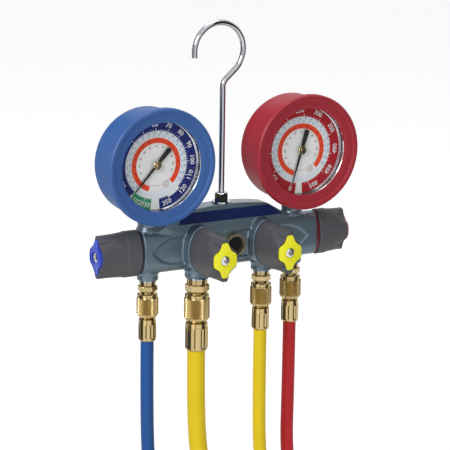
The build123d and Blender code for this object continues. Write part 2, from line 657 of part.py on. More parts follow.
def corner_radii(points):
    """Each corner's largest arc: 0.45 of the shorter run over the tangent of half the turn."""
    radii = []
    for before, here, after in zip(points, points[1:], points[2:]):
        run_in, run_out = Vector(*here) - Vector(*before), Vector(*after) - Vector(*here)
        half_turn = math.radians(run_in.get_angle(run_out) / 2)
        radii.append(0.45 * min(run_in.length, run_out.length) / math.tan(half_turn))
    return radii


def hose(name):
    size = PORTS[name][2]
    points = hose_points(name)
    radii = corner_radii(points)
    path = FilletPolyline(*points, radius=radii)
    first = Vector(*points[1]) - Vector(*points[0])
    section = Plane(points[0], z_dir=first) * Circle(size["hose_d"] / 2)
    tube = sweep(section, path=path)
    expected = math.pi * (size["hose_d"] / 2) ** 2 * path.length
    print(f"{name} hose: radii {[round(r) for r in radii]}, length {path.length:.0f}, "
          f"volume over section times length {tube.volume / expected:.4f}")
    return tube, path.length


def tail_length(name, drop):
    """What the coil leaves over of the hose's full length."""
    radius, turns = COILS[name][:2]
    return HOSE_L - drop - 2 * math.pi * radius * turns


def coil_x(name):
    """Where the hose comes in to the coil, and where it leaves it."""
    size = PORTS[name][2]
    turns, side = COILS[name][1:3]
    enters = hose_points(name)[-1][0]
    return enters, enters + side * turns * size["hose_d"]


def coil(name, drop):
    """The outer shape of the coiled stretch: a wide ring with the hose's straight end below it."""
    size = PORTS[name][2]
    radius, turns, side, centre_z, centre_y = COILS[name]
    enters, leaves = coil_x(name)
    d = size["hose_d"]
    plane = Plane(((enters + leaves) / 2, centre_y - radius, centre_z), x_dir=(1, 0, 0), z_dir=(0, 0, 1))
    section = plane * SlotOverall((turns + 1) * d, d)
    ring = revolve(section, Axis((0, centre_y, centre_z), (1, 0, 0)))
    tail = cyl(d / 2 - TAIL_SLIM, centre_z - tail_length(name, drop), centre_z + TAIL_OVERLAP)
    return ring + Pos(leaves, centre_y - radius, 0) * tail


def tie(name):
    """A flat strap round the top of the coil."""
    size = PORTS[name][2]
    radius, turns, side, centre_z, centre_y = COILS[name]
    enters, leaves = coil_x(name)
    d = size["hose_d"]
    inside = SlotOverall((turns + 1) * d + 2 * TIE_GAP + 1.2, d + 2 * TIE_GAP + 1.2)
    outside = SlotOverall((turns + 1) * d + 2 * (TIE_GAP + TIE_T) + 1.2, d + 2 * (TIE_GAP + TIE_T) + 1.2)
    strap = extrude(outside - inside, TIE_W / 2, both=True)
    plane = Plane(((enters + leaves) / 2, centre_y, centre_z + radius), x_dir=(1, 0, 0), z_dir=(0, -1, 0))
    return plane * strap


def lower_end(name, drop):
    """Places the far ferrule and coupler, drawn like the upper pair, below the coil's straight end."""
    size = PORTS[name][2]
    radius, turns, side, centre_z, centre_y = COILS[name]
    top = centre_z - tail_length(name, drop)
    x = coil_x(name)[1]
    sleeve = Pos(x, centre_y - radius, top - size["ferrule_l"]) * Rot(180, 0, 0) * ferrule(size, 0)
    nut_z = top - size["ferrule_l"] - 0.35 - size["nut_l"]
    nut = Pos(x, centre_y - radius, nut_z) * Rot(180, 0, 0) * coupler(size)
    return sleeve, nut


# ---- everything -------------------------------------------------------------------------------------

def main():
    os.makedirs("parts", exist_ok=True)
    save(hook(), "hanging_hook")
    nut, washer = hook_fastening()
    save(nut, "hook_nut")
    save(washer, "hook_washer")
    save(manifold_body(), "manifold_body")
    ring = cyl(SIGHT_R, 0, SIGHT_SEAT - SIGHT_FRONT) - cyl(SIGHT_BORE_R, -1, 20)
    glass = cyl(SIGHT_BORE_R, 0, SIGHT_SEAT - SIGHT_FRONT - 2.0)
    save(along_y(ring, SIGHT_X, SIGHT_SEAT, AXIS_Z), "sight_glass_ring")
    save(along_y(glass, SIGHT_X, SIGHT_SEAT, AXIS_Z), "sight_glass_lens")
    save(collar("low"), "low_collar")
    save(collar("high"), "high_collar")
    bonnets = [valve_place(name) * bonnet() for name in PORTS]
    save(Compound(children=bonnets), "valve_bonnets")
    fittings = [Pos(x, y, 0) * port_fitting(size) for x, y, size in PORTS.values()]
    save(Compound(children=fittings), "port_fittings")
    for name in PORTS:
        place = valve_place(name)
        save(place * piston(), f"{name}_piston")
        save(place * knob(name), f"{name}_knob")
        save(place * cap(name), f"{name}_cap")
        rod, screw = stem(name)
        save(Compound(children=[place * rod, place * screw]), f"{name}_stem")
    for side in GAUGE_X:
        place = gauge_place(side)
        save(place * boot(), f"{side}_boot")
        save(place * case(), f"{side}_case")
        rim, spacer = bezel()
        save(Compound(children=[place * rim, place * spacer]), f"{side}_bezel")
        save(place * gauge_lens(), f"{side}_lens")
        save(place * dial(), f"{side}_dial")
        socket, frame = movement()
        save(Compound(children=[place * socket, place * frame]), f"{side}_movement")
        save(place * sector(side), f"{side}_sector")
        save(place * pointer(side), f"{side}_pointer")
    ferrules, ties = [], []
    for name, (x, y, size) in PORTS.items():
        tube, drop = hose(name)
        save(tube, f"{name}_hose")
        save(coil(name, drop), f"{name}_hose_coil")
        save(Pos(x, y, coupler_top(size)) * coupler(size), f"{name}_upper_coupler")
        ferrules.append(Pos(x, y, 0) * ferrule(size, upper_ferrule_top(size)))
        far_ferrule, far_nut = lower_end(name, drop)
        ferrules.append(far_ferrule)
        save(far_nut, f"{name}_lower_coupler")
        ties.append(tie(name))
    save(Compound(children=ferrules), "hose_ferrules")
    save(Compound(children=ties), "hose_ties")


main()
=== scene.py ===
import math

import bpy
from mathutils import Matrix, Vector


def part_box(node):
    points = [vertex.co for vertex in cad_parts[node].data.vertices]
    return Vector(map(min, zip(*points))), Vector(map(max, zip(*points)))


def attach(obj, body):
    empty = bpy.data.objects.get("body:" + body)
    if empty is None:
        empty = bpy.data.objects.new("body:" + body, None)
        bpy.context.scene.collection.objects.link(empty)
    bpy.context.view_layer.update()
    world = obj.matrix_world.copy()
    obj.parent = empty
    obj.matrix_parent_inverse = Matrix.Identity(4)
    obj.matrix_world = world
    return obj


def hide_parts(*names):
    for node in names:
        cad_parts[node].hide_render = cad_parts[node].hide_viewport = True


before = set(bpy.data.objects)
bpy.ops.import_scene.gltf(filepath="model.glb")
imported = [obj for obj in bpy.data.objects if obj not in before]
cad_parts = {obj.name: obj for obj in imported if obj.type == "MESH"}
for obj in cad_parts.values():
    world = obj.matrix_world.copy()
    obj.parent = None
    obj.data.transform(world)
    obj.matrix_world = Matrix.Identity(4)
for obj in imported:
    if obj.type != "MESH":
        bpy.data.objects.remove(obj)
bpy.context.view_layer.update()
bpy.ops.object.select_all(action="DESELECT")
studio = bpy.context.scene


# ---- camera ---------------------------------------------------------------------------------
# A long lens from the front left, a little above the gauges.

view_side, view_lift, view_roll = math.radians(-30.03), math.radians(13.30), math.radians(0.854)
aim, distance, focal_mm = Vector((-0.00718, -0.0265, -0.16578)), 2.36225, 224.1
back = Vector((
    math.sin(view_side) * math.cos(view_lift),
    -math.cos(view_side) * math.cos(view_lift),
    math.sin(view_lift),
))
level = Vector((math.cos(view_side), math.sin(view_side), 0))
upright = back.cross(level)
right = level * math.cos(view_roll) + upright * math.sin(view_roll)
above = upright * math.cos(view_roll) - level * math.sin(view_roll)
lens = bpy.data.cameras.new("camera")
lens.lens = focal_mm
lens.sensor_width = 36
lens.clip_end = 60
camera = bpy.data.objects.new("camera", lens)
facing = Matrix((right, above, back)).transposed().to_4x4()
camera.matrix_world = Matrix.Translation(aim + back * distance) @ facing
studio.collection.objects.link(camera)
studio.camera = camera


# ---- hoses ----------------------------------------------------------------------------------
# Four rubber charging hoses, 60 inches long. Each drops from its ferrule, leans out
# into its coil and ends straight below it. The vacuum hose is the thick one.

def finish(name, colour, rough, grain, depth, metal=0.0, drift=0.1, coat=0.0, shine=0.5):
    """A finish whose colour drifts a little, with a fine grain in its relief and gloss."""
    made = bpy.data.materials.new(name)
    made.use_nodes = True
    nodes, wire = made.node_tree.nodes, made.node_tree.links.new
    face = nodes["Principled BSDF"]
    face.inputs["Metallic"].default_value = metal
    face.inputs["Coat Weight"].default_value = coat
    face.inputs["Specular IOR Level"].default_value = shine
    place = nodes.new("ShaderNodeTexCoord").outputs["Object"]
    patch = nodes.new("ShaderNodeTexNoise")
    patch.inputs["Scale"].default_value = 55
    patch.inputs["Detail"].default_value = 3
    speck = nodes.new("ShaderNodeTexNoise")
    speck.inputs["Scale"].default_value = grain
    speck.inputs["Detail"].default_value = 2
    wire(place, patch.inputs["Vector"])
    wire(place, speck.inputs["Vector"])
    tone = nodes.new("ShaderNodeMix")
    tone.data_type = "RGBA"
    tone.inputs["A"].default_value = [c * (1 - drift) for c in colour] + [1]
    tone.inputs["B"].default_value = [min(c * (1 + drift), 1) for c in colour] + [1]
    wire(patch.outputs["Fac"], tone.inputs["Factor"])
    wire(tone.outputs["Result"], face.inputs["Base Color"])
    gloss = nodes.new("ShaderNodeMapRange")
    gloss.inputs["To Min"].default_value = rough * 0.85
    gloss.inputs["To Max"].default_value = min(rough * 1.15, 1)
    wire(speck.outputs["Fac"], gloss.inputs["Value"])
    wire(gloss.outputs["Result"], face.inputs["Roughness"])
    relief = nodes.new("ShaderNodeBump")
    relief.inputs["Distance"].default_value = depth
    wire(speck.outputs["Fac"], relief.inputs["Height"])
    wire(relief.outputs["Normal"], face.inputs["Normal"])
    return made


blue_rubber = finish("blue_rubber", (0.014, 0.08, 0.29), 0.4, 1600, 0.00006, shine=0.25)
yellow_rubber = finish("yellow_rubber", (0.78, 0.57, 0.012), 0.4, 1600, 0.00006, drift=0.05, shine=0.2)
red_rubber = finish("red_rubber", (0.5, 0.016, 0.022), 0.4, 1600, 0.00006, shine=0.25)
hose_routes = {
    "low": [
        (-0.0665, 0, -0.2652), (-0.0665, 0, -0.32228), (-0.0643, 0, -0.37936), (-0.0675, -0.0169, -0.41561),
        (-0.0707, -0.0421, -0.43675), (-0.0723, -0.059, -0.473),
    ],
    "vacuum": [
        (-0.0247, -0.011, -0.2757), (-0.0247, -0.011, -0.32015), (-0.0221, -0.011, -0.36459),
        (-0.0221, -0.02605, -0.40594), (-0.0221, -0.07095, -0.45945), (-0.0221, -0.086, -0.5008),
    ],
    "charging": [
        (0.0383, -0.011, -0.2652), (0.0383, -0.011, -0.32478), (0.0399, -0.011, -0.38436),
        (0.0399, -0.0279, -0.42061), (0.0399, -0.0531, -0.44175), (0.0399, -0.07, -0.478),
    ],
    "high": [
        (0.0745, 0, -0.2652), (0.0745, 0, -0.32578), (0.0736, 0, -0.38636), (0.0736, -0.0169, -0.42261),
        (0.0736, -0.0421, -0.44375), (0.0736, -0.059, -0.48),
    ],
}
# Each coil: middle, radius, turns, x where the hose comes in and leaves, height of its end.
hose_coils = {
    "low": ((0.003, -0.505), 0.062, 3, -0.0723, -0.1065, -0.60296),
    "vacuum": ((0.006, -0.536), 0.092, 2, -0.0221, -0.0533, -0.62342),
    "charging": ((-0.008, -0.510), 0.062, 3, 0.0399, 0.0057, -0.60324),
    "high": ((0.003, -0.512), 0.062, 3, 0.0736, 0.1078, -0.60325),
}
hose_width = {"low": 0.0114, "vacuum": 0.0156, "charging": 0.0114, "high": 0.0114}
hose_rubber = {"low": blue_rubber, "vacuum": yellow_rubber, "charging": yellow_rubber, "high": red_rubber}
steps = 16  # points in one turn of a coil
for name, route in hose_routes.items():
    (middle_y, middle_z), radius, turns, enters, leaves, end_z = hose_coils[name]
    outside = radius / math.cos(math.pi / steps)
    points = list(route)
    for i in range(steps * turns + 1):
        angle, share = 2 * math.pi * i / steps, i / (steps * turns)
        points.append((
            enters + (leaves - enters) * share,
            middle_y - outside * math.cos(angle), middle_z - outside * math.sin(angle),
        ))
    tail = middle_z - end_z
    points.append((leaves, middle_y - radius, middle_z - 0.4 * tail))
    points.append((leaves, middle_y - radius, middle_z - 0.7 * tail))
    points.append((leaves, middle_y - radius, end_z))
    line = bpy.data.curves.new(name + "_hose_line", "CURVE")
    line.dimensions = "3D"
    line.bevel_depth = hose_width[name] / 2
    line.bevel_resolution = 6
    line.resolution_u = 6
    line.use_fill_caps = True
    spline = line.splines.new("NURBS")
    spline.points.add(len(points) - 1)
    for knot, point in zip(spline.points, points):
        knot.co = (*point, 1)
    spline.order_u = 3
    spline.use_endpoint_u = True
    hose = bpy.data.objects.new(name + "_hose_rubber", line)
    studio.collection.objects.link(hose)
    line.materials.append(hose_rubber[name])
    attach(hose, "manifold")
    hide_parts(name + "_hose", name + "_hose_coil")


# ---- studio ---------------------------------------------------------------------------------
# A white floor under an even sky, with a large soft lamp on each side of the camera and one
# overhead. Dark screens beside the object show only in polished metal.

def seen_plainly(tree):
    """1 for what the camera sees, straight or in a mirror or through glass, and 0 for its light."""
    rays = tree.nodes.new("ShaderNodeLightPath").outputs
    seen = rays["Is Camera Ray"]
    for ray in ("Is Glossy Ray", "Is Transmission Ray"):
        either = tree.nodes.new("ShaderNodeMath")
        either.operation = "MAXIMUM"
        tree.links.new(seen, either.inputs[0])
        tree.links.new(rays[ray], either.inputs[1])
        seen = either.outputs[0]
    return seen


white = bpy.data.worlds.new("sky")
studio.world = white
white.use_nodes = True
sky, wire = white.node_tree.nodes, white.node_tree.links.new
even = sky["Background"]
even.inputs["Strength"].default_value = 0.34
backdrop = sky.new("ShaderNodeBackground")
backdrop.inputs["Strength"].default_value = 1.0
for shade in (even, backdrop):
    shade.inputs["Color"].default_value = (1, 1, 1, 1)
pick = sky.new("ShaderNodeMixShader")
wire(seen_plainly(white.node_tree), pick.inputs["Fac"])
wire(even.outputs[0], pick.inputs[1])
wire(backdrop.outputs[0], pick.inputs[2])
wire(pick.outputs[0], sky["World Output"].inputs["Surface"])

lamps_aim = Vector((0, 0, -0.2))
for lamp_name, spot, size, power in (
    ("key_lamp", (-2.1, -1.0, 1.1), 1.2, 43), ("fill_lamp", (1.4, -2.1, 0.3), 1.6, 7),
    ("top_lamp", (0.1, 0.2, 1.9), 1.4, 18),
):
    lamp = bpy.data.lights.new(lamp_name, "AREA")
    lamp.size = size
    lamp.energy = power
    holder = bpy.data.objects.new(lamp_name, lamp)
    holder.location = spot
    holder.rotation_euler = (lamps_aim - Vector(spot)).to_track_quat("-Z", "Y").to_euler()
    studio.collection.objects.link(holder)

floor_radius, floor_height = 9, -0.71
bpy.ops.mesh.primitive_circle_add(
    vertices=96, radius=floor_radius, fill_type="NGON", location=(0, 0, floor_height),
)
floor = bpy.context.object
floor.name = "floor"
pale = bpy.data.materials.new("pale_floor")
pale.use_nodes = True
nodes, wire = pale.node_tree.nodes, pale.node_tree.links.new
paint = nodes["Principled BSDF"]
paint.inputs["Base Color"].default_value = (0.88, 0.88, 0.88, 1)
paint.inputs["Roughness"].default_value = 0.9
paint.inputs["Specular IOR Level"].default_value = 0.1
reach = nodes.new("ShaderNodeVectorMath")
reach.operation = "LENGTH"
wire(nodes.new("ShaderNodeTexCoord").outputs["Object"], reach.inputs[0])
glow = nodes.new("ShaderNodeMapRange")  # the floor turns white away from the object
glow.inputs["From Min"].default_value = 0.35
glow.inputs["From Max"].default_value = 1.6
glow.inputs["To Min"].default_value = 0.12
glow.inputs["To Max"].default_value = 0.6
wire(reach.outputs["Value"], glow.inputs["Value"])
lit = nodes.new("ShaderNodeMath")
lit.operation = "MULTIPLY"
wire(seen_plainly(pale.node_tree), lit.inputs[0])
wire(glow.outputs["Result"], lit.inputs[1])
paint.inputs["Emission Color"].default_value = (1, 1, 1, 1)
wire(lit.outputs[0], paint.inputs["Emission Strength"])
from_below = nodes.new("ShaderNodeMixShader")  # clear when it is seen from below
wire(nodes.new("ShaderNodeNewGeometry").outputs["Backfacing"], from_below.inputs["Fac"])
wire(paint.outputs[0], from_below.inputs[1])
wire(nodes.new("ShaderNodeBsdfTransparent").outputs[0], from_below.inputs[2])
wire(from_below.outputs[0], nodes["Material Output"].inputs["Surface"])
floor.data.materials.append(pale)

dark = bpy.data.materials.new("dark_screen")
dark.use_nodes = True
dark.node_tree.nodes["Principled BSDF"].inputs["Base Color"].default_value = (0.02, 0.02, 0.02, 1)
dark.node_tree.nodes["Principled BSDF"].inputs["Roughness"].default_value = 1
screen_height, screen_middle = 2.2, -0.1  # each screen stands 1 m from the object
for screen_name, side_angle, width in (
    ("left_screen", -108, 0.95), ("right_screen", 44, 0.85),
    ("back_left_screen", -170, 0.5), ("front_screen", -42, 0.14),
):
    bpy.ops.mesh.primitive_plane_add(size=1)
    screen = bpy.context.object
    screen.name = screen_name
    turn = math.radians(side_angle)
    screen.scale = (width, screen_height, 1)
    screen.rotation_euler = (math.pi / 2, 0, turn)
    screen.location = (math.sin(turn), -math.cos(turn), screen_middle)
    screen.data.materials.append(dark)
    screen.visible_camera = False
    screen.visible_diffuse = False
    screen.visible_shadow = False


# ---- hook -----------------------------------------------------------------------------------
# A bent steel rod, screwed into the top of the body and locked by a nut on a washer. All
# three are chromed.

def dress(node, material):
    """Gives a carried-over piece its finish."""
    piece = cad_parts[node]
    if not piece.material_slots:
        piece.data.materials.append(material)
    for held in piece.material_slots:
        held.link = "OBJECT"
        held.material = material


chrome = finish("chrome", (0.5, 0.51, 0.54), 0.08, 900, 0.000004, metal=1.0, drift=0.03)
dress("hanging_hook", chrome)
dress("hook_nut", chrome)
dress("hook_washer", chrome)


# ---- body -----------------------------------------------------------------------------------
# The manifold: a die casting in satin blue-grey powder coat. Its edges and the roots of its
# bosses are rounded as cast, and its long panel is sunk into the front.

def only(piece):
    """Selects one piece and makes it the active one."""
    bpy.ops.object.select_all(action="DESELECT")
    piece.select_set(True)
    bpy.context.view_layer.objects.active = piece


def apply_all(piece):
    """Applies every modifier of a piece."""
    only(piece)
    for step in list(piece.modifiers):
        bpy.ops.object.modifier_apply(modifier=step.name)


def copy_of(original, name):
    """A copy that has its own mesh."""
    piece = original.copy()
    piece.data = original.data.copy()
    piece.name = name
    studio.collection.objects.link(piece)
    return piece


def fit(piece, material, body):
    """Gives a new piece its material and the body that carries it."""
    piece.data.materials.clear()
    piece.data.materials.append(material)
    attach(piece, body)


def softened(node, name, grid, passes, material, body, roots=()):
    """A moulded piece: its node's own form with the edges rounded off and any roots blended in."""
    piece = copy_of(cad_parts[node], name)
    only(piece)
    if roots:
        for root in roots:
            root.select_set(True)
        bpy.ops.object.join()
    bpy.ops.object.mode_set(mode="EDIT")
    bpy.ops.mesh.select_all(action="SELECT")
    bpy.ops.mesh.remove_doubles(threshold=0.000005)
    bpy.ops.object.mode_set(mode="OBJECT")
    skin = piece.modifiers.new("skin", "REMESH")
    skin.mode = "VOXEL"
    skin.voxel_size = grid
    skin.use_smooth_shade = True
    round_off = piece.modifiers.new("round_off", "SMOOTH")
    round_off.factor = 0.5
    round_off.iterations = passes
    apply_all(piece)
    fit(piece, material, body)
    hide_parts(node)


def drawn_out(outline, start, depth, placing):
    """A solid drawn out along Z. Its outline is shaped from a round one, point by point."""
    bpy.ops.mesh.primitive_circle_add(vertices=96, radius=1, fill_type="NGON")
    piece = bpy.context.object
    for point in piece.data.vertices:
        point.co = (*outline(point.co.x, point.co.y), start)
    bpy.ops.object.mode_set(mode="EDIT")
    bpy.ops.mesh.select_all(action="SELECT")
    bpy.ops.mesh.extrude_region_move(TRANSFORM_OT_translate={"value": (0, 0, depth)})
    bpy.ops.mesh.select_all(action="SELECT")
    bpy.ops.mesh.normals_make_consistent(inside=False)
    bpy.ops.object.mode_set(mode="OBJECT")
    piece.data.transform(placing)
    return piece


def oval(half_x, half_y, fullness=2.0):
    """An outline: an ellipse, or one with fuller shoulders where fullness is over 2."""
    def outline(x, y):
        parts = ((half_x, x), (half_y, y))
        return tuple(half * math.copysign(abs(part) ** (2 / fullness), part) for half, part in parts)
    return outline


panel_x, panel_half, panel_straight, panel_nose = 0.0085, 0.0762, 0.0492, 0.027
panel_half_height, nose_fullness = 0.0116, 2.7


def panel(x, y):
    """The front panel's outline: straight sides and a pointed nose at each end."""
    past = max(abs(x) * panel_half - panel_straight, 0) / panel_nose
    return x * panel_half, math.copysign(panel_half_height * (1 - past ** nose_fullness), y)


body_paint = finish("body_paint", (0.135, 0.19, 0.235), 0.3, 2600, 0.00012, metal=0.6, drift=0.06, coat=0.2)
axis_z, port_face, crown_face, quarter = -0.188, -0.2125, -0.161, math.pi / 2
ports = {
    "low": (-0.0665, 0), "vacuum": (-0.0247, -0.011), "charging": (0.0383, -0.011), "high": (0.0745, 0),
}
rims = {"low": 0.0091, "vacuum": 0.01085, "charging": 0.0091, "high": 0.0091}

# The barrel's shoulders are fuller than an ellipse, so they are laid over it as a shell. The
# panel, the bores and the drilled ways stay open in them.
lengthwise = Matrix.Translation((0, 0, axis_z)) @ Matrix.Rotation(quarter, 4, "Y")
barrel_left, barrel_length = -0.0753, 0.1692
shoulders = drawn_out(oval(0.0189, 0.0114, 2.8), barrel_left, barrel_length, lengthwise)
core_left, core_length = -0.08, 0.18
openings = [drawn_out(oval(0.0172, 0.0092), core_left, core_length, lengthwise)]
front_start, front_reach = 0.002, 0.02
valve_bore, sight_bore, sight_x = 0.0074, 0.008, 0.0109
for outline, x in (
    (panel, panel_x), (oval(valve_bore, valve_bore), ports["vacuum"][0]),
    (oval(valve_bore, valve_bore), ports["charging"][0]), (oval(sight_bore, sight_bore), sight_x),
):
    forwards = Matrix.Translation((x, 0, axis_z)) @ Matrix.Rotation(quarter, 4, "X")
    openings.append(drawn_out(outline, front_start, front_reach, forwards))
way, way_foot, way_length = 0.0036, -0.03, 0.06
for x, y in ports.values():
    upwards = Matrix.Translation((x, y, axis_z))
    openings.append(drawn_out(oval(way, way), way_foot, way_length, upwards))
for opening in openings:
    cut = shoulders.modifiers.new("cut", "BOOLEAN")
    cut.operation = "DIFFERENCE"
    cut.object = opening
apply_all(shoulders)
for opening in openings:
    bpy.data.objects.remove(opening)


root_height = 0.004


def root(below, above, x, y, z):
    """The short cone by which a boss runs into the barrel."""
    bpy.ops.mesh.primitive_cone_add(
        vertices=64, radius1=below, radius2=above, depth=root_height, location=(x, y, z),
    )
    return bpy.context.object


port_roots = [
    root(rims[name] - 0.0006, rims[name] + 0.0009, x, y, port_face + 0.0056) for name, (x, y) in ports.items()
]
gauge_roots = [root(0.0106, 0.0088, ports[name][0], 0, crown_face - 0.0066) for name in ("low", "high")]
softened(
    "manifold_body", "cast_body", grid=0.00062, passes=4, material=body_paint,
    body="manifold", roots=[shoulders, *port_roots, *gauge_roots],
)


# ---- label band -----------------------------------------------------------------------------
# A thin navy plate, bare, stuck along the front of the ridge. Its right end is cut at a slant.

label_blue = finish("label_blue", (0.01, 0.022, 0.11), 0.3, 900, 0.000003, drift=0.05, shine=0.15)
label_left, label_right, label_top, label_foot = -0.041, 0.0455, -0.1568, -0.1664
label_front, label_slant, label_thickness = -0.00852, 0.0152, 0.00018
bpy.ops.mesh.primitive_plane_add(
    size=1, location=((label_left + label_right) / 2, label_front, (label_top + label_foot) / 2),
    rotation=(quarter, 0, 0),
)
label = bpy.context.object
label.name = "label_band"
label.scale = (label_right - label_left, label_top - label_foot, 1)
bpy.ops.object.transform_apply(location=True, rotation=True, scale=True)
for corner in label.data.vertices:
    if corner.co.x > 0 and corner.co.z < (label_top + label_foot) / 2:
        corner.co.x += label_slant
bpy.ops.object.mode_set(mode="EDIT")
bpy.ops.mesh.select_all(action="SELECT")
bpy.ops.mesh.inset(thickness=0.0003, depth=0.0)
bpy.ops.object.mode_set(mode="OBJECT")
plate = label.modifiers.new("plate", "SOLIDIFY")
plate.thickness = label_thickness
plate.offset = 1
apply_all(label)
fit(label, label_blue, "manifold")


# ---- sight glass and collars ----------------------------------------------------------------
# A dark glass in a brass ring, screwed into the front of the body, and the collars behind the
# two end knobs: dark on the low side, deep red on the high side.

pale_brass = finish("pale_brass", (0.72, 0.62, 0.42), 0.2, 700, 0.00001, metal=1.0, drift=0.05)
dark_glass = finish("dark_glass", (0.012, 0.012, 0.014), 0.06, 400, 0.000001)
dark_ring = finish("dark_ring", (0.015, 0.018, 0.03), 0.3, 900, 0.00001)
red_ring = finish("red_ring", (0.12, 0.008, 0.014), 0.3, 900, 0.00001)
dress("sight_glass_ring", pale_brass)
dress("sight_glass_lens", dark_glass)
dress("low_collar", dark_ring)
dress("high_collar", red_ring)


# ---- valves ---------------------------------------------------------------------------------
# Four hand valves. Each has a moulded grip, a coloured plate let into its end, and a spindle
# whose cross-head screw holds both. The screw is plated and its head is domed.

def turned(name, outline, sides, at):
    """A turned piece along Z: a ring drawn out from point to point of its outline. Ends are closed."""
    (radius, height), rest = outline[0], outline[1:]
    bpy.ops.mesh.primitive_circle_add(vertices=sides, radius=radius, location=(at[0], at[1], at[2] + height))
    piece = bpy.context.object
    piece.name = name
    bpy.ops.object.transform_apply(location=True, rotation=True, scale=True)
    bpy.ops.object.mode_set(mode="EDIT")
    bpy.ops.mesh.select_all(action="SELECT")
    for next_radius, next_height in rest:
        bpy.ops.mesh.extrude_region_move(TRANSFORM_OT_translate={"value": (0, 0, next_height - height)})
        grow = next_radius / radius
        bpy.ops.transform.resize(value=(grow, grow, 1), center_override=(at[0], at[1], at[2] + next_height))
        radius, height = next_radius, next_height
    bpy.ops.mesh.select_all(action="SELECT")
    bpy.ops.mesh.remove_doubles(threshold=0.000002)
    bpy.ops.mesh.fill_holes(sides=0)
    bpy.ops.mesh.normals_make_consistent(inside=False)
    bpy.ops.object.mode_set(mode="OBJECT")
    return piece


def keep_angles(piece, degrees):
    only(piece)
    bpy.ops.object.shade_smooth_by_angle(angle=math.radians(degrees))


def set_down(piece, placing):
    """Moves a finished piece's mesh to its place."""
    piece.data.transform(placing)
    piece.data.update()


grip = finish("grip", (0.072, 0.072, 0.082), 0.5, 2200, 0.00008, drift=0.07)
insert_blue = finish("insert_blue", (0.022, 0.055, 0.5), 0.22, 900, 0.000008, drift=0.04)
insert_yellow = finish("insert_yellow", (0.92, 0.88, 0.012), 0.25, 900, 0.000008, drift=0.03)
insert_red = finish("insert_red", (0.55, 0.02, 0.03), 0.22, 900, 0.000008, drift=0.04)
steel = finish("steel", (0.7, 0.7, 0.72), 0.22, 900, 0.00001, metal=1.0, drift=0.05)
brass = finish("brass", (0.5, 0.385, 0.185), 0.2, 700, 0.00001, metal=1.0, drift=0.08)
inserts = {"low": insert_blue, "vacuum": insert_yellow, "charging": insert_yellow, "high": insert_red}

# The screw is drawn pointing up, with the seat of its head at 0.
stem_foot, stem_radius, head_radius, head_rise = -0.055, 0.003, 0.0043, 0.0015
screw_made = turned("spindle_screw", [
    (0.0001, stem_foot), (stem_radius - 0.0004, stem_foot), (stem_radius, stem_foot + 0.0004),
    (stem_radius, 0), (head_radius, 0), (head_radius, 0.0006), (head_radius - 0.0005, 0.00105),
    (head_radius - 0.0016, 0.0014), (head_radius - 0.003, head_rise), (0.0001, head_rise),
], 32, (0, 0, 0))
for turn in (0, quarter):
    bpy.ops.mesh.primitive_cube_add(size=1, location=(0, 0, head_rise), rotation=(0, 0, turn))
    slot_tool = bpy.context.object
    slot_tool.scale = (0.0052, 0.0009, 0.0018)
    bpy.ops.object.transform_apply(location=True, rotation=True, scale=True)
    cross = screw_made.modifiers.new("cross", "BOOLEAN")
    cross.operation = "DIFFERENCE"
    cross.object = slot_tool
    apply_all(screw_made)
    bpy.data.objects.remove(slot_tool)
keep_angles(screw_made, 35)


def screw_seat(name):
    """Where the seat of a valve's screw is, and the way that the screw points."""
    low_corner, high_corner = (Vector(corner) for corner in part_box(name + "_stem"))
    x, y, z = (low_corner + high_corner) / 2
    if name == "low":
        return Matrix.Translation((low_corner.x + head_rise, y, z)) @ Matrix.Rotation(-quarter, 4, "Y")
    if name == "high":
        return Matrix.Translation((high_corner.x - head_rise, y, z)) @ Matrix.Rotation(quarter, 4, "Y")
    return Matrix.Translation((x, low_corner.y + head_rise, z)) @ Matrix.Rotation(quarter, 4, "X")


for name, insert in inserts.items():
    softened(
        name + "_knob", name + "_grip", grid=0.00045, passes=3, material=grip,
        body=name + "_spindle",
    )
    dress(name + "_cap", insert)
    screw = copy_of(screw_made, name + "_screw")
    set_down(screw, screw_seat(name))
    fit(screw, steel, name + "_spindle")
    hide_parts(name + "_stem")
    dress(name + "_piston", brass)
bpy.data.objects.remove(screw_made)
dress("valve_bonnets", brass)


# ---- port fittings --------------------------------------------------------------------------
# Above each upper nut a fitting is screwed into the body: a plated ring, then in brass a
# collar, a hexagon with bevelled corners and the nose that goes into the nut.

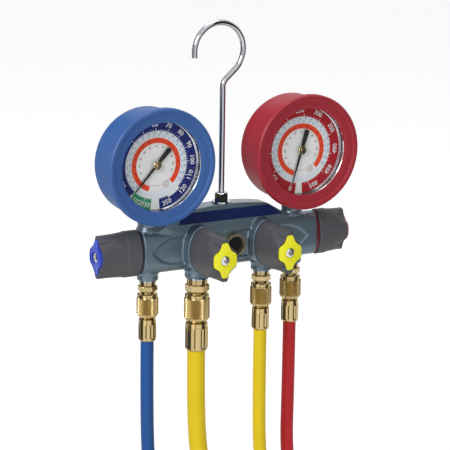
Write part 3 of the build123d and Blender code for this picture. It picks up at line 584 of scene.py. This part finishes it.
fitting_sizes = {  # thread radius, hexagon's corner radius, its top and its foot
    "low": (0.0055, 0.0086, -0.2170, -0.2222), "vacuum": (0.0079, 0.0106, -0.2180, -0.2246),
    "charging": (0.0055, 0.0086, -0.2170, -0.2222), "high": (0.0055, 0.0086, -0.2170, -0.2222),
}
fitting_bore, ring_bore, ring_thickness = 0.0024, 0.0031, 0.0015
for name, (x, y) in ports.items():
    thread, corner, hex_top, hex_foot = fitting_sizes[name]
    nut_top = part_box(name + "_upper_coupler")[1][2]
    ring_foot = port_face - ring_thickness
    plated = turned(name + "_fitting_ring", [
        (ring_bore, port_face), (corner - 0.0013, port_face), (corner - 0.0011, port_face - 0.0004),
        (corner - 0.0011, port_face - 0.0012), (corner - 0.0015, ring_foot), (ring_bore, ring_foot),
        (ring_bore, port_face),
    ], 40, (x, y, 0))
    keep_angles(plated, 35)
    fit(plated, chrome, "manifold")
    nose = turned(name + "_nose", [
        (fitting_bore, ring_foot), (corner - 0.0018, ring_foot), (corner - 0.0016, hex_top + 0.0004),
        (corner - 0.0022, hex_top), (corner - 0.0022, hex_foot), (thread + 0.0009, hex_foot - 0.0004),
        (thread + 0.0007, nut_top + 0.0012), (thread, nut_top + 0.0006), (thread, nut_top - 0.0096),
        (thread - 0.0018, nut_top - 0.0111), (fitting_bore, nut_top - 0.0111), (fitting_bore, ring_foot),
    ], 40, (x, y, 0))
    keep_angles(nose, 35)
    hexagon = turned(name + "_hexagon", [
        (corner - 0.0023, hex_top), (corner - 0.0010, hex_top), (corner - 0.0001, hex_top - 0.0008),
        (corner - 0.0001, hex_foot + 0.0008), (corner - 0.0010, hex_foot), (corner - 0.0023, hex_foot),
        (corner - 0.0023, hex_top),
    ], 6, (x, y, 0))
    keep_angles(hexagon, 25)
    edges = hexagon.modifiers.new("edges", "BEVEL")
    edges.width = 0.0003
    edges.segments = 2
    apply_all(hexagon)
    for piece in (nose, hexagon):
        fit(piece, brass, "manifold")
    if name == "low":
        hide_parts("port_fittings")


# ---- couplers -------------------------------------------------------------------------------
# Each hose ends in a brass nut at either end: a smooth band, a diamond-knurled grip and a
# foot that tapers to the crimped ferrule.

dress("hose_ferrules", brass)


def knurled_nut(name, radius, long, thread, neck, rows, around):
    """Drawn below 0. The grip's grid of faces is turned into diamonds, each raised to a point."""
    top, foot, thread_foot, neck_top = -0.0038, -long + 0.0026, -0.012, -0.0155
    valley, point_height = radius - 0.00085, 0.0009
    grid = [(valley, top + (foot - top) * i / rows) for i in range(rows + 1)]
    nut = turned(name, [
        (thread, 0), (radius - 0.0016, 0), (radius - 0.0007, -0.0008), (radius - 0.0007, -0.0026),
        (radius - 0.0012, -0.0031), *grid, (radius - 0.0011, -long + 0.0018), (radius - 0.0026, -long),
        (neck, -long), (neck, neck_top), (thread + 0.0006, neck_top), (thread + 0.0006, thread_foot),
        (thread, thread_foot), (thread, 0),
    ], around, (0, 0, 0))
    mesh = nut.data

    def on_grip(point):
        return foot < point.z < top and math.hypot(point.x, point.y) > radius - 0.0013

    def choose_grip():
        bpy.ops.object.mode_set(mode="OBJECT")
        for item in (*mesh.vertices, *mesh.edges):
            item.select = False
        for face in mesh.polygons:
            face.select = on_grip(face.center)
        bpy.ops.object.mode_set(mode="EDIT")

    only(nut)
    bpy.ops.object.mode_set(mode="EDIT")
    bpy.ops.mesh.select_mode(type="FACE")
    corners = len(mesh.vertices)
    choose_grip()
    bpy.ops.mesh.poke()
    bpy.ops.mesh.select_all(action="DESELECT")
    bpy.ops.mesh.select_mode(type="EDGE")
    bpy.ops.object.mode_set(mode="OBJECT")
    for edge in mesh.edges:
        ends = [mesh.vertices[i] for i in edge.vertices]
        edge.select = max(edge.vertices) < corners and on_grip((ends[0].co + ends[1].co) / 2)
    bpy.ops.object.mode_set(mode="EDIT")
    bpy.ops.mesh.dissolve_edges(use_verts=False)
    bpy.ops.mesh.select_mode(type="FACE")
    choose_grip()
    bpy.ops.mesh.poke(offset=point_height)
    bpy.ops.mesh.select_all(action="DESELECT")
    bpy.ops.mesh.select_mode(type="VERT")
    bpy.ops.object.mode_set(mode="OBJECT")
    keep_angles(nut, 24)
    return nut


nut_kinds = {
    "quarter": knurled_nut(
        "quarter_nut", radius=0.0095, long=0.0215, thread=0.00556, neck=0.00396, rows=7, around=28,
    ),
    "three_eighths": knurled_nut(
        "three_eighths_nut", radius=0.0112, long=0.0245, thread=0.00796, neck=0.00636, rows=8, around=32,
    ),
}
for name in inserts:
    kind = nut_kinds["three_eighths" if name == "vacuum" else "quarter"]
    for end in ("upper", "lower"):
        node = f"{name}_{end}_coupler"
        low_corner, high_corner = (Vector(corner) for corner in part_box(node))
        x, y, _ = (low_corner + high_corner) / 2
        nut = copy_of(kind, f"{name}_{end}_nut")
        if end == "upper":
            set_down(nut, Matrix.Translation((x, y, high_corner.z)))
        else:
            set_down(nut, Matrix.Translation((x, y, low_corner.z)) @ Matrix.Rotation(math.pi, 4, "X"))
        fit(nut, brass, node)
        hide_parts(node)
for kind in nut_kinds.values():
    bpy.data.objects.remove(kind)


# ---- dials ----------------------------------------------------------------------------------
# Two 80 mm gauge dials, one for each side: a white disc with its scales printed in flat inks.
# Each number, tick and band is a thin print on it.

gauge_x, gauge_z, dial_face = {"low": -0.0665, "high": 0.0745}, -0.111, -0.0130
ink_depth = 0.00004
to_front = Matrix.Rotation(quarter, 4, "X")  # turns what is drawn flat, facing up, to the front


def on_dial(side, radius, angle, lift):
    """A point on a dial, its angle anticlockwise from +X as the dial is read."""
    turn = math.radians(angle)
    return (gauge_x[side] + radius * math.cos(turn), dial_face - lift, gauge_z + radius * math.sin(turn))


def thicken(print_):
    """Gives a flat print the thickness of its ink, and faces it to the front."""
    only(print_)
    bpy.ops.object.mode_set(mode="EDIT")
    bpy.ops.mesh.select_all(action="SELECT")
    bpy.ops.mesh.normals_make_consistent(inside=False)
    bpy.ops.object.mode_set(mode="OBJECT")
    if print_.data.polygons[0].normal.y > 0:
        bpy.ops.object.mode_set(mode="EDIT")
        bpy.ops.mesh.flip_normals()
        bpy.ops.object.mode_set(mode="OBJECT")
    ink = print_.modifiers.new("ink", "SOLIDIFY")
    ink.thickness = ink_depth
    ink.offset = 1
    apply_all(print_)


def band(side, inner, outer, start, end, lift):
    """A printed arc: a whole ring with what lies outside its two ends taken away."""
    bpy.ops.mesh.primitive_circle_add(vertices=360, radius=inner)
    arc = bpy.context.object
    bpy.ops.object.mode_set(mode="EDIT")
    bpy.ops.mesh.select_all(action="SELECT")
    bpy.ops.mesh.extrude_region_move()
    bpy.ops.transform.resize(value=(outer / inner, outer / inner, 1), center_override=(0, 0, 0))
    bpy.ops.mesh.select_mode(type="FACE")
    bpy.ops.object.mode_set(mode="OBJECT")
    arc.data.transform(Matrix.Rotation(math.radians(start), 4, "Z"))
    for face in arc.data.polygons:
        angle = math.degrees(math.atan2(face.center.y, face.center.x)) - start
        face.select = angle % 360 > end - start
    bpy.ops.object.mode_set(mode="EDIT")
    bpy.ops.mesh.delete(type="FACE")
    bpy.ops.mesh.select_mode(type="VERT")
    bpy.ops.object.mode_set(mode="OBJECT")
    arc.data.transform(Matrix.Translation(on_dial(side, 0, 0, lift)) @ to_front)
    return arc


def ticks(side, inner, outer, width, start, step, count, lift):
    """Printed ticks: one, then its copies spun round the dial."""
    bpy.ops.mesh.primitive_plane_add(size=1)
    tick = bpy.context.object
    tick.scale = (outer - inner, width, 1)
    tick.location = ((inner + outer) / 2, 0, 0)
    bpy.ops.object.transform_apply(location=True, rotation=True, scale=True)
    tick.data.transform(Matrix.Rotation(math.radians(start), 4, "Z"))
    if count > 1:
        bpy.ops.object.mode_set(mode="EDIT")
        bpy.ops.mesh.select_all(action="SELECT")
        bpy.ops.mesh.spin(
            steps=count - 1, dupli=True, angle=math.radians(step * (count - 1)), center=(0, 0, 0),
            axis=(0, 0, 1),
        )
        bpy.ops.object.mode_set(mode="OBJECT")
    tick.data.transform(Matrix.Translation(on_dial(side, 0, 0, lift)) @ to_front)
    return tick


def numeral(side, figures, height, radius, angle, lift, weight=0.02):
    """A printed number along the arc: its top is outward above the dial's middle, and inward below."""
    bpy.ops.object.text_add()
    mark = bpy.context.object
    mark.data.body = figures
    mark.data.size = height / 0.7
    mark.data.align_x, mark.data.align_y = "CENTER", "CENTER"
    mark.data.offset = weight * mark.data.size
    mark.data.resolution_u = 2
    bpy.ops.object.convert(target="MESH")
    mark = bpy.context.object
    upright = angle - 90 if math.sin(math.radians(angle)) > -0.05 else angle + 90
    mark.data.transform(
        Matrix.Translation(on_dial(side, radius, angle, lift)) @ to_front
        @ Matrix.Rotation(math.radians(upright), 4, "Z")
    )
    return mark


def row(side, values, height, radius, start, step, lift):
    """A row of small numbers along an arc, the first of them at the angle start."""
    return [
        numeral(side, str(value), height, radius, start - step * i, lift)
        for i, value in enumerate(values)
    ]


def printing(side, name, ink, marks):
    """Joins the marks of one ink into one print on a dial."""
    bpy.ops.object.select_all(action="DESELECT")
    for mark in marks:
        mark.select_set(True)
    bpy.context.view_layer.objects.active = marks[0]
    if len(marks) > 1:
        bpy.ops.object.join()
    print_ = bpy.context.object
    print_.name = f"{side}_{name}"
    thicken(print_)
    fit(print_, ink, "manifold")


paper = finish("paper", (0.86, 0.87, 0.86), 0.5, 900, 0.000002, drift=0.02, shine=0.08)


def ink_of(name, colour, drift=0.03):
    return finish(name, colour, 0.4, 900, 0.000002, drift=drift, shine=0.08)


navy_ink = ink_of("navy_ink", (0.008, 0.016, 0.17))
red_ink = ink_of("red_ink", (0.46, 0.004, 0.014))
green_ink = ink_of("green_ink", (0.012, 0.3, 0.11))
white_ink = ink_of("white_ink", (0.88, 0.89, 0.9), 0.02)
pale_ink = ink_of("pale_ink", (0.78, 0.83, 0.87), 0.02)
sky_ink = ink_of("sky_ink", (0.1, 0.3, 0.55))
orange_ink = ink_of("orange_ink", (0.84, 0.06, 0.008))
maroon_ink = ink_of("maroon_ink", (0.3, 0.02, 0.03))
grey_ink = ink_of("grey_ink", (0.66, 0.62, 0.62), 0.02)

scales = {  # angle of 0, degrees a step, value a step, last value, ink of the band, angles of the white tab
    "low": (226.8, 22.4, 10, 120, navy_ink, (262, 275.5)),
    "high": (252.9, 32.0, 50, 500, red_ink, (262, 273)),
}
disc_edge, band_inner, pale_inner, orange_outer, orange_inner = 0.0389, 0.029, 0.0225, 0.0231, 0.0187
orange_start, orange_end = -47, 252
tick_end, fine_tick_end, figure_radius, figure_height = 0.0315, 0.0302, 0.0345, 0.0041
vacuum_figures = [("10", 235.5), ("20", 245.5), ("30", 255.5)]
top_figure, top_angle, top_band = "350", -72, (-68, -45)
# Each row of small numbers: its values, height, radius, angle of the first and degrees a step.
blue_outer_row = (range(-40, 170, 10), 0.0015, 0.0275, 218, 12.5)
blue_inner_row = (range(-40, 75, 5), 0.0013, 0.0248, 222, 11.5)
red_row = (range(0, 120, 10), 0.0015, 0.0158, 224, 22.4)
orange_row = (range(0, 300, 20), 0.0012, 0.0204, 232, 17.5)
first, second, third = (0.00001 + 0.00006 * i for i in range(3))  # how far each layer of ink is raised
for side, (zero, step, value, last, ink, (tab_start, tab_end)) in scales.items():
    dress(side + "_dial", paper)
    count = last // value + 1
    fine_count = 5 * last // value + 1
    band_end = tab_start if side == "high" else zero
    printing(side, "band", ink, [band(side, band_inner, disc_edge, tab_end - 360, band_end, first)])
    printing(side, "pale_ring", pale_ink, [band(side, pale_inner, band_inner, 0, 360, first)])
    orange = band(side, orange_inner, orange_outer, orange_start, orange_end, second)
    printing(side, "orange_ring", orange_ink, [orange])
    white_marks = [
        ticks(side, band_inner, tick_end, 0.0005, zero, -step, count, second),
        ticks(side, band_inner, fine_tick_end, 0.00025, zero, -step / 5, fine_count, second),
    ]
    figures = [(str(value * i), zero - step * i) for i in range(count)]
    if side == "low":
        white_marks.append(band(side, band_inner, 0.031, *top_band, second))
        sector = band(side, band_inner, disc_edge, zero, tab_start, first)
        printing(side, "green_sector", green_ink, [sector])
        figures += [(top_figure, top_angle), *vacuum_figures]
    for text, angle in figures:
        white_marks.append(numeral(side, text, figure_height, figure_radius, angle, second))
    printing(side, "white_scale", white_ink, white_marks)
    blue_marks = row(side, *blue_outer_row, second) + row(side, *blue_inner_row, second)
    blue_marks.append(ticks(side, 0.0260, 0.0265, 0.0002, 224, -3.125, 82, second))
    printing(side, "blue_scales", sky_ink, blue_marks)
    red_marks = row(side, *red_row, first)
    red_marks.append(ticks(side, 0.0174, 0.0184, 0.0003, 224, -4.48, 56, first))
    printing(side, "red_scale", maroon_ink, red_marks)
    printing(side, "orange_scale", maroon_ink, row(side, *orange_row, third))


# ---- pointers and movements -----------------------------------------------------------------
# A black pointer, held by a brass hub, over a small grey adjuster in the dial. Behind the dial
# the brass bourdon tube and the toothed sector work it.

black = finish("black", (0.012, 0.012, 0.012), 0.35, 900, 0.000004, shine=0.08)
adjuster_across, adjuster_up, hub_seat = 0.0092, -0.017, -0.01579
for side in scales:
    adjuster = turned(f"{side}_adjuster", [
        (0.0001, 0), (0.0033, 0), (0.0033, 0.0002), (0.0030, 0.0003), (0.0001, 0.0003),
    ], 40, (0, 0, 0))
    keep_angles(adjuster, 30)
    adjuster_place = (gauge_x[side] + adjuster_across, dial_face - 0.00002, gauge_z + adjuster_up)
    set_down(adjuster, Matrix.Translation(adjuster_place) @ to_front)
    fit(adjuster, grey_ink, "manifold")
    hub = turned(f"{side}_hub", [
        (0.0001, 0), (0.0037, 0), (0.0037, 0.0004), (0.0034, 0.0007), (0.0019, 0.0007), (0.0017, 0.0013),
        (0.0001, 0.0014),
    ], 32, (0, 0, 0))
    keep_angles(hub, 30)
    set_down(hub, Matrix.Translation((gauge_x[side], hub_seat, gauge_z)) @ to_front)
    fit(hub, brass, side + "_pointer")
    dress(side + "_pointer", black)
    dress(side + "_movement", brass)
    dress(side + "_sector", brass)


# ---- bezels ---------------------------------------------------------------------------------
# The bright ring between boot and dial, chromed: a rolled rim before the lens, and ridges
# behind it that hold the lens off the dial.

bezel_chrome = finish("bezel_chrome", (0.7, 0.72, 0.75), 0.12, 900, 0.000004, metal=1.0, drift=0.03)
lip_front, lens_front, lens_back, ring_back = 0.0041, 0.0064, 0.0082, 0.0134
case_bore, spacer_outer, ridge_top, ridge_root, boot_front = 0.0399, 0.0389, 0.0377, 0.0382, -0.0265
ridge_count = 4
ridges = []
for i in range(ridge_count):
    depth = lens_back + (ring_back - lens_back) * i / ridge_count
    ridges += [(ridge_top, depth), (ridge_top, depth + 0.0004)]
    ridges += [(ridge_root, depth + 0.0008), (ridge_root, depth + 0.0011)]
for side in scales:
    rim = turned(f"{side}_rim", [
        (case_bore, lens_front), (ridge_top, lens_front), (ridge_top, lip_front + 0.0009),
        (0.0383, lip_front), (case_bore, lip_front), (case_bore, lens_front),
    ], 96, (0, 0, 0))
    spacer = turned(f"{side}_spacer", [
        (spacer_outer, lens_back), *ridges, (ridge_root, ring_back), (spacer_outer, ring_back),
        (spacer_outer, lens_back),
    ], 96, (0, 0, 0))
    only(rim)
    spacer.select_set(True)
    bpy.ops.object.join()
    keep_angles(rim, 20)
    to_back = Matrix.Rotation(-quarter, 4, "X")
    set_down(rim, Matrix.Translation((gauge_x[side], boot_front, gauge_z)) @ to_back)
    fit(rim, bezel_chrome, "manifold")
    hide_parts(side + "_bezel")


# ---- boots, cases and lenses ----------------------------------------------------------------
# Each gauge's steel case stands in a soft rubber boot, blue on the low side and red on the
# high side, and is closed by a clear lens.

boot_blue = finish("boot_blue", (0.03, 0.105, 0.33), 0.45, 1500, 0.00012, drift=0.06, shine=0.4)
boot_red = finish("boot_red", (0.34, 0.01, 0.025), 0.45, 1500, 0.00012, drift=0.06, shine=0.4)
case_steel = finish("case_steel", (0.3, 0.31, 0.33), 0.38, 900, 0.000006, metal=0.8, drift=0.05)
clear_lens = bpy.data.materials.new("gauge_glass")
clear_lens.use_nodes = True
pane = clear_lens.node_tree.nodes["Principled BSDF"]
pane.inputs["Base Color"].default_value = (0.5, 0.53, 0.55, 1)
pane.inputs["Roughness"].default_value = 0.03
pane.inputs["Alpha"].default_value = 0.02
for side, boot in (("low", boot_blue), ("high", boot_red)):
    dress(side + "_boot", boot)
    dress(side + "_case", case_steel)
    dress(side + "_lens", clear_lens)


# ---- hose ties ------------------------------------------------------------------------------
# A black webbing tie round the top of each coil.

strap = finish("strap", (0.015, 0.015, 0.016), 0.7, 2500, 0.0001)
dress("hose_ties", strap)

studio.view_settings.view_transform = "Standard"
